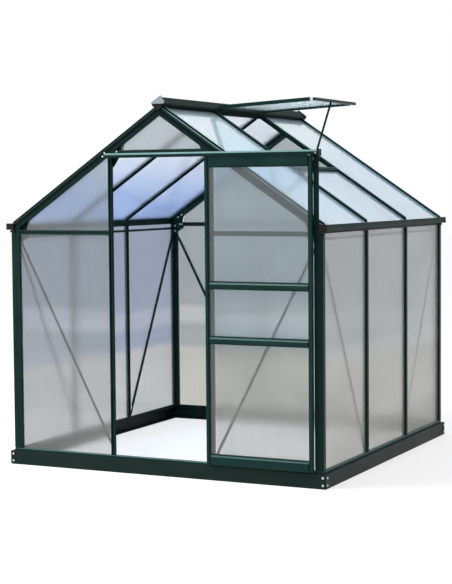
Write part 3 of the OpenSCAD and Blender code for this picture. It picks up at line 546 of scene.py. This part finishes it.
def twin_wall(name, values, through=0.85, bend=1.18, clear_coat=0.5):
    """Translucent sheet: its colour, ribs and haze come from the group."""
    material, tree, shader = new_material(name)
    look = place(tree, sheet, values)
    bump = add(tree, "ShaderNodeBump", {"Strength": 0.2, "Distance": RIB_DEPTH})
    tree.links.new(look.outputs["Color"], shader.inputs["Base Color"])
    tree.links.new(look.outputs["Haze"], shader.inputs["Roughness"])
    tree.links.new(look.outputs["Rib"], bump.inputs["Height"])
    tree.links.new(bump.outputs["Normal"], shader.inputs["Normal"])
    shader.inputs["Transmission Weight"].default_value = through
    shader.inputs["IOR"].default_value = bend
    shader.inputs["Coat Weight"].default_value = clear_coat
    shader.inputs["Coat Roughness"].default_value = COAT_ROUGHNESS
    return material


ALONG_X, ALONG_Y = (1, 0, 0), (0, 1, 0)
FAR_OFF = 9.0  # a pane with no bar across it
WEB = (0.86, 0.88, 0.90, 1)
# Each wall's low and high tones are painted light and shade: lit and shaded copies of one sheet.
FRONT = {
    "Along": ALONG_X,
    "Low": (0.83, 0.83, 0.81, 1),
    "High": (0.74, 0.765, 0.755, 1),
    "Web": WEB,
    "Foot": 0.62,
    "Head": 0.68,
    "Pale at": 0.816,
    "Pale": 0.45,
}
DOOR = {
    "Along": ALONG_X,
    "Middle": 0.5835,
    "Bar": FAR_OFF,
    "Edge": 0.2785,
    "Haze": 0.1,
    "Low": (0.96, 0.95, 0.93, 1),
    "High": (0.90, 0.96, 1.0, 1),
    "Web": WEB,
    "Foot": 0.68,
    "Head": 0.74,
    "Pale at": 0.88,
    "Pale": 0.15,
}
SIDE_BAYS = {"Along": ALONG_Y, "Bar": 0.315, "Edge": 0.919}
RIGHT = {
    **SIDE_BAYS,
    "Low": (0.78, 0.77, 0.745, 1),
    "High": (0.765, 0.78, 0.785, 1),
    "Web": WEB,
    "Foot": 0.62,
    "Head": 0.7,
    "Pale at": 0.64,
    "Pale": 0.3,
    "Ground shade": 0.9,
}
LEFT = {
    **SIDE_BAYS,
    "Low": (0.66, 0.67, 0.68, 1),
    "High": (0.46, 0.51, 0.64, 1),
    "Web": WEB,
    "Strip colour": (0.74, 0.76, 0.8, 1),
    "Foot": 0.48,
    "Head": 0.54,
    "Pale at": 0.69,
    "Pale": 0.35,
}
BACK = {
    "Along": ALONG_X,
    "Low": (0.66, 0.655, 0.59, 1),
    "High": (0.48, 0.52, 0.52, 1),
    "Web": WEB,
    "Strip colour": (0.78, 0.78, 0.75, 1),
    "Foot": 0.46,
    "Head": 0.51,
    "Pale at": 0.7,
    "Pale": 0.5,
}
ROOF = {
    **SIDE_BAYS,
    "Foot": 1.6,
    "Head": 1.85,
    "Low": (0.66, 0.85, 1.0, 1),
    "High": (0.86, 0.96, 1.0, 1),
    "Web": (0.80, 0.92, 1.0, 1),
    "Strip colour": (0.88, 0.97, 1.0, 1),
}
VENT = {
    **ROOF,
    "Bar": FAR_OFF,
    "Edge": 0.293,
    "Low": (0.88, 0.98, 1.0, 1),
    "High": (0.92, 1.0, 1.0, 1),
}
LEFT_ROOF = {
    **SIDE_BAYS,
    "Haze": 0.6,
    "Foot": 1.42,
    "Head": 1.8,
    "Low": (0.52, 0.67, 1.0, 1),
    "High": (0.92, 0.95, 1.0, 1),
    "Web": (0.90, 0.94, 1.0, 1),
    "Strip colour": (0.75, 0.82, 1.0, 1),
}
gable_sheet = twin_wall("gable sheet", FRONT, 0.87, clear_coat=0.4)
back_sheet = twin_wall("back wall sheet", BACK)
side_sheet = twin_wall("side wall sheet", RIGHT, 0.75)
left_sheet = twin_wall("left wall sheet", LEFT)
door_sheet = twin_wall("door pane", DOOR, 0.92, clear_coat=0.15)
roof_sheet = twin_wall("roof sheet", ROOF, 0.38, clear_coat=1.0)
left_roof_sheet = twin_wall("left roof sheet", LEFT_ROOF, 0.97, 1.05, 0.85)
vent_sheet = twin_wall("vent sheet", VENT, 0.97, 1.02, 0.0)

# %% Give every node its finish
FINISH = {
    "front_wall_panels": gable_sheet,
    "front_gable_panels": gable_sheet,
    "back_wall_panels": back_sheet,
    "back_gable_panels": back_sheet,
    "door_panes": door_sheet,
    "left_wall_panels": left_sheet,
    "right_wall_panels": side_sheet,
    "left_roof_panels": left_roof_sheet,
    "right_roof_panels": roof_sheet,
    "vent_panel": vent_sheet,
    "base_front": green_base,
    "base_back": green_base,
    "base_sides": green_base,
    "base_corner_brackets": green_base,
    "door_stiles": green_door,
    "door_rails": green_door,
    "front_rafters": green_rafter,
    "back_rafters": green_back_rafter,
    "door_track": green_track,
    "sill_front": green_door,
    "sill_sides": green_door,
    "eaves_beam_front": green_door,
    "ridge": green_ridge,
    "roof_bars": green_roof,
    "vent_sill": green_roof,
    "gutters": green_gutter,
    "gutter_end_caps": black_cap,
    "ridge_end_caps": lit_cap,
    "track_end_stop": black_cap,
    "door_rollers": black_cap,
}
for name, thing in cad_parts.items():
    slots = thing.data.materials
    finish = FINISH.get(name, green_bar)
    if len(slots):
        for slot in range(len(slots)):
            slots[slot] = finish
    else:
        slots.append(finish)
print("finished nodes:", len(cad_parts))

# %% [markdown]
# ## Bolts
#
# Every joint of the frame is bolted. A bolt head is a lathe shape whose radius
# bends to a hexagon part of the way up. One head is worked out as a grid of
# points, then turned and moved to every place at once.

# %% Surfaces from rings of points


def skin(rings, segments):
    """Faces over rings of points with a pole at each end.

    The points are counted pole, ring by ring, pole. Quads join each ring to
    the next, and a fan of triangles closes each end.
    """
    ring = np.arange(segments)
    after = (ring + 1) % segments
    start = 1 + segments * np.arange(rings - 1)[:, None]
    following = start + segments
    quads = np.stack([start + ring, start + after, following + after, following + ring], -1)
    top = 1 + segments * (rings - 1)
    pole = np.full(segments, top + segments)
    low_fan = np.stack([np.zeros(segments, int), 1 + after, 1 + ring], -1)
    high_fan = np.stack([top + ring, top + after, pole], -1)
    return quads.reshape(-1, 4), np.concatenate([low_fan, high_fan])


def turn_to(facing):
    """Rotations that take +z to each direction: the third column is the direction."""
    ahead = np.asarray(facing, float)
    ahead = ahead / np.linalg.norm(ahead, axis=1, keepdims=True)
    spare = np.where(np.abs(ahead[:, 2:3]) > 0.9, [[1.0, 0, 0]], [[0, 0, 1.0]])
    right = np.cross(spare, ahead)
    right /= np.linalg.norm(right, axis=1, keepdims=True)
    return np.stack([right, np.cross(ahead, right), ahead], -1)


def surface(name, points, faces, material):
    """A new object from a closed surface. The caller says which body it rides on."""
    mesh = bpy.data.meshes.new(name)
    mesh.from_pydata(points.tolist(), [], [face for block in faces for face in block.tolist()])
    mesh.materials.append(material)
    thing = bpy.data.objects.new(name, mesh)
    bpy.context.scene.collection.objects.link(thing)
    print(name, len(mesh.polygons), "faces")
    return thing


def copies(name, points, faces, places, facing, material, body):
    """One object made of the same closed surface at many places."""
    places = np.asarray(places, float)
    turned = np.einsum("nij,pj->npi", turn_to(facing), points) + places[:, None]
    step = np.arange(len(places))[:, None, None] * len(points)
    blocks = [(block[None] + step).reshape(-1, block.shape[1]) for block in faces]
    thing = surface(name, turned.reshape(-1, 3), blocks, material)
    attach(thing, body)


def bolt_head(radius, height, segments=24):
    """A washer, a hexagon head and the bolt's end, standing on z = 0.

    Each ring has radius r(a) = k * radius * ((1 - h) + h * hex(a)), where
    hex(a) = cos(30) / cos((a mod 60) - 30) and h is 0 for the round rings.
    """
    #        k, height, hexagon
    outline = np.array([
        (1.00, -0.10, 0), (1.00, 0.16, 0), (0.96, 0.20, 0), (0.80, 0.20, 1), (0.80, 0.62, 1),
        (0.74, 0.72, 0.7), (0.62, 0.78, 0), (0.36, 0.78, 0), (0.36, 1.00, 0), (0.30, 1.05, 0),
    ])
    angle = np.arange(segments) / segments * 2 * math.pi
    sector = np.mod(angle, math.pi / 3) - math.pi / 6
    hexagon = math.cos(math.pi / 6) / np.cos(sector)
    k, z, h = outline.T[:, :, None]
    reach = k * radius * ((1 - h) + h * hexagon)
    rings = np.stack([reach * np.cos(angle), reach * np.sin(angle), z * height + 0 * angle], -1)
    low_pole, high_pole = [[0, 0, outline[0, 1] * height]], [[0, 0, outline[-1, 1] * height]]
    points = np.concatenate([low_pole, rings.reshape(-1, 3), high_pole])
    return points, skin(len(outline), segments)


# %% Group: zinc
DULL_ZINC, BRIGHT_ZINC = (0.62, 0.65, 0.66, 1), (0.82, 0.84, 0.85, 1)
zinc, zinc_in, zinc_out = group(
    "zinc plate",
    [("Spangle", FLOAT, 260.0)],
    [("Color", COLOUR), ("Roughness", FLOAT), ("Relief", FLOAT)],
)
wire = zinc.links.new
spot = add(zinc, "ShaderNodeTexCoord")
flake = add(zinc, "ShaderNodeTexVoronoi")
dull = add(zinc, "ShaderNodeTexNoise", {"Scale": 90.0, "Detail": 3.0})
shine = add(zinc, "ShaderNodeMix", {"A": DULL_ZINC, "B": BRIGHT_ZINC}, data_type="RGBA")
grade = add(zinc, "ShaderNodeMapRange", {"To Min": 0.28, "To Max": 0.5})
wire(spot.outputs["Object"], flake.inputs["Vector"])
wire(zinc_in.outputs["Spangle"], flake.inputs["Scale"])
wire(spot.outputs["Object"], dull.inputs["Vector"])
wire(flake.outputs["Distance"], shine.inputs["Factor"])
wire(dull.outputs["Fac"], grade.inputs["Value"])
wire(shine.outputs["Result"], zinc_out.inputs["Color"])
wire(grade.outputs["Result"], zinc_out.inputs["Roughness"])
wire(dull.outputs["Fac"], zinc_out.inputs["Relief"])

bright_zinc, tree, shader = new_material("bright zinc")
plate = place(tree, zinc)
bump = add(tree, "ShaderNodeBump", {"Strength": 0.1, "Distance": 0.0003})
tree.links.new(plate.outputs["Color"], shader.inputs["Base Color"])
tree.links.new(plate.outputs["Roughness"], shader.inputs["Roughness"])
tree.links.new(plate.outputs["Relief"], bump.inputs["Height"])
tree.links.new(bump.outputs["Normal"], shader.inputs["Normal"])
shader.inputs["Metallic"].default_value = 0.85

# %% Bolts: where they go
BASE_R, SMALL_R, UPRIGHT_R = 0.006, 0.005, 0.0045
HIGH_HEAD, LOW_HEAD = 0.006, 0.004
BASE_INSET, BASE_ROWS = 0.017, (0.020, 0.058)
PLATE_BEHIND_WALL = 0.028
EAVES_SPOTS = [
    (0.896, 1.252), (0.896, 1.285), (0.862, 1.296), (0.846, 1.296), (0.873, 1.341), (0.848, 1.358),
]
DOOR_HEAD_SPOTS = [
    (0.302, 1.662), (0.302, 1.690), (0.262, 1.719), (0.240, 1.719), (0.290, 1.735), (0.254, 1.757),
]
HEADER_SPOTS = [(-0.332, 1.722), (-0.344, 1.705), (-0.256, 1.728)]
TRACK_INSET, TRACK_SUNK, TRACK_DROP = 0.009, 0.003, 0.016
UPRIGHT_X, UPRIGHT_ROWS = 0.905, (1.664, 1.645, 1.375, 1.358)

base_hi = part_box("base_corner_brackets")[1]
wall_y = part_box("corner_posts")[1][1]
upright_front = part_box("track_upright")[0][1]
track_lo, track_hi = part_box("door_track")

# none on the back face: a head there would stand past the model's own box
base_at, base_facing = [], []
for sx in (-1, 1):
    for sy in (-1, 1):
        for z in BASE_ROWS:
            if sy < 0:
                base_at.append((sx * (base_hi[0] - BASE_INSET), sy * base_hi[1], z))
                base_facing.append((0, sy, 0))
            base_at.append((sx * base_hi[0], sy * (base_hi[1] - BASE_INSET), z))
            base_facing.append((sx, 0, 0))
big_head = bolt_head(BASE_R, HIGH_HEAD)
copies("base_corner_bolts", *big_head, base_at, base_facing, bright_zinc, "greenhouse")

plate_y = wall_y - PLATE_BEHIND_WALL
gusset_at, gusset_facing = [], []
for sx in (-1, 1):
    for sy in (-1, 1):
        for x, z in EAVES_SPOTS:
            gusset_at.append((sx * x, sy * plate_y, z))
            gusset_facing.append((0, -sy, 0))
    for x, z in DOOR_HEAD_SPOTS:
        gusset_at.append((sx * x, -plate_y, z))
        gusset_facing.append((0, 1, 0))
small_head = bolt_head(SMALL_R, HIGH_HEAD)
copies("gusset_bolts", *small_head, gusset_at, gusset_facing, bright_zinc, "greenhouse")

front_at = [(x, -wall_y, z) for x, z in HEADER_SPOTS]
front_at.append((track_hi[0] - TRACK_INSET, track_lo[1] + TRACK_SUNK, track_hi[2] - TRACK_DROP))
front_facing = [(0, -1, 0)] * len(front_at)
flat_head = bolt_head(SMALL_R, LOW_HEAD)
copies("front_bolts", *flat_head, front_at, front_facing, bright_zinc, "greenhouse")

upright_at = [(UPRIGHT_X, upright_front, z) for z in UPRIGHT_ROWS]
upright_facing = [(0, -1, 0)] * len(upright_at)
slim_head = bolt_head(UPRIGHT_R, LOW_HEAD)
copies("upright_bolts", *slim_head, upright_at, upright_facing, green_gutter, "greenhouse")

# %% [markdown]
# ## The door's hanger flange
#
# The rail that carries the rollers has a thin flange standing up into the hood
# of its track. It is what the hangers are bolted to, and it shuts the slit
# below the track. It is a bar of rounded section: a superellipse run along x.

# %% Hanger flange
FLANGE_THICK, FLANGE_HIGH, FLANGE_FOOT = 0.0016, 0.0125, 0.002
END_LENGTH, END_SHARE = 0.002, 0.9


def rounded_strip(x_lo, x_hi, middle, half_y, half_z, squareness=5.0, segments=32):
    """A strip along x with the section |y / half_y|^n + |z / half_z|^n = 1.

    Around the section, y = half_y sgn(cos a) |cos a|^(2/n), and z the same
    with sin. The strip narrows to END_SHARE in the last END_LENGTH.
    """
    a = np.arange(segments) / segments * 2 * math.pi
    y = half_y * np.sign(np.cos(a)) * np.abs(np.cos(a)) ** (2 / squareness)
    z = half_z * np.sign(np.sin(a)) * np.abs(np.sin(a)) ** (2 / squareness)
    x = np.array([x_lo, x_lo + END_LENGTH, x_hi - END_LENGTH, x_hi])
    taper = np.array([END_SHARE, 1.0, 1.0, END_SHARE])[:, None]
    rings = np.stack([x[:, None] + 0 * a, middle[0] + taper * y, middle[1] + taper * z], -1)
    points = np.concatenate([[[x_lo, *middle]], rings.reshape(-1, 3), [[x_hi, *middle]]])
    return points, skin(len(x), segments)


rail_lo, rail_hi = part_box("door_rails")
points, faces = rounded_strip(
    rail_lo[0],
    rail_hi[0],
    (rail_lo[1] + FLANGE_THICK / 2, rail_hi[2] + FLANGE_HIGH / 2 - FLANGE_FOOT),
    FLANGE_THICK / 2,
    FLANGE_HIGH / 2,
)
flange = surface("door_hanger_flange", points, faces, green_door)
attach(flange, "sliding_door")
print("flange from", round(rail_lo[0], 3), "to", round(rail_hi[0], 3))

# %% [markdown]
# ## Floor, sky and lamps
#
# The floor is a mid grey with a glow of its own for the rays that look at it,
# so it reads as white and still keeps a soft shadow. The sky is white to the
# same rays, and a plain level lower for the light that it casts.


# %% Which rays look at the backdrop
def looking_rays(tree):
    """1 for camera, glossy and transmission rays, 0 for the light a backdrop casts."""
    ray = add(tree, "ShaderNodeLightPath")
    first = add(tree, "ShaderNodeMath", operation="MAXIMUM")
    every = add(tree, "ShaderNodeMath", operation="MAXIMUM")
    tree.links.new(ray.outputs["Is Camera Ray"], first.inputs[0])
    tree.links.new(ray.outputs["Is Glossy Ray"], first.inputs[1])
    tree.links.new(first.outputs[0], every.inputs[0])
    tree.links.new(ray.outputs["Is Transmission Ray"], every.inputs[1])
    return every.outputs[0]


# %% Floor
FLOOR_HALF = 40.0
FLOOR_GLOW = 0.66
FLOOR_GREY = (0.46, 0.46, 0.455, 1)
WHITE = (1, 1, 1, 1)
floor_mesh = bpy.data.meshes.new("studio_floor")
corners = np.array([(-1, -1, 0), (1, -1, 0), (1, 1, 0), (-1, 1, 0)], float) * FLOOR_HALF
floor_mesh.from_pydata(corners.tolist(), [], [(0, 1, 2, 3)])
floor = bpy.data.objects.new("studio_floor", floor_mesh)
bpy.context.scene.collection.objects.link(floor)
floor_paint, tree, shader = new_material("white studio floor")
shader.inputs["Base Color"].default_value = FLOOR_GREY
shader.inputs["Roughness"].default_value = 0.9
shader.inputs["Specular IOR Level"].default_value = 0.1
glow = add(tree, "ShaderNodeMath", {1: FLOOR_GLOW}, operation="MULTIPLY")
tree.links.new(looking_rays(tree), glow.inputs[0])
tree.links.new(glow.outputs[0], shader.inputs["Emission Strength"])
shader.inputs["Emission Color"].default_value = WHITE
floor_mesh.materials.append(floor_paint)

# %% World
SKY_LIGHT = 0.62
world = bpy.data.worlds.new("studio")
world.use_nodes = True
bpy.context.scene.world = world
sky = world.node_tree
backdrop = sky.nodes["Background"]
level = add(sky, "ShaderNodeMapRange", {"To Min": SKY_LIGHT, "To Max": 1.0})
sky.links.new(looking_rays(sky), level.inputs["Value"])
sky.links.new(level.outputs["Result"], backdrop.inputs["Strength"])
backdrop.inputs["Color"].default_value = WHITE


# %% Lamps
def soft_box(name, at, towards, size, watts):
    """A square area lamp that looks at a point."""
    lamp = bpy.data.lights.new(name, "AREA")
    lamp.size = size
    lamp.energy = watts
    thing = bpy.data.objects.new(name, lamp)
    aim = (Vector(towards) - Vector(at)).to_track_quat("-Z", "Y")
    thing.matrix_world = Matrix.Translation(at) @ aim.to_matrix().to_4x4()
    bpy.context.scene.collection.objects.link(thing)


MIDDLE = (0, 0, 1)
soft_box("key", (-2.5, -2.4, 7.0), MIDDLE, 2.4, 380)
soft_box("fill", (-5.5, -5.0, 3.0), MIDDLE, 4.0, 90)
bpy.context.scene.view_settings.view_transform = "Standard"
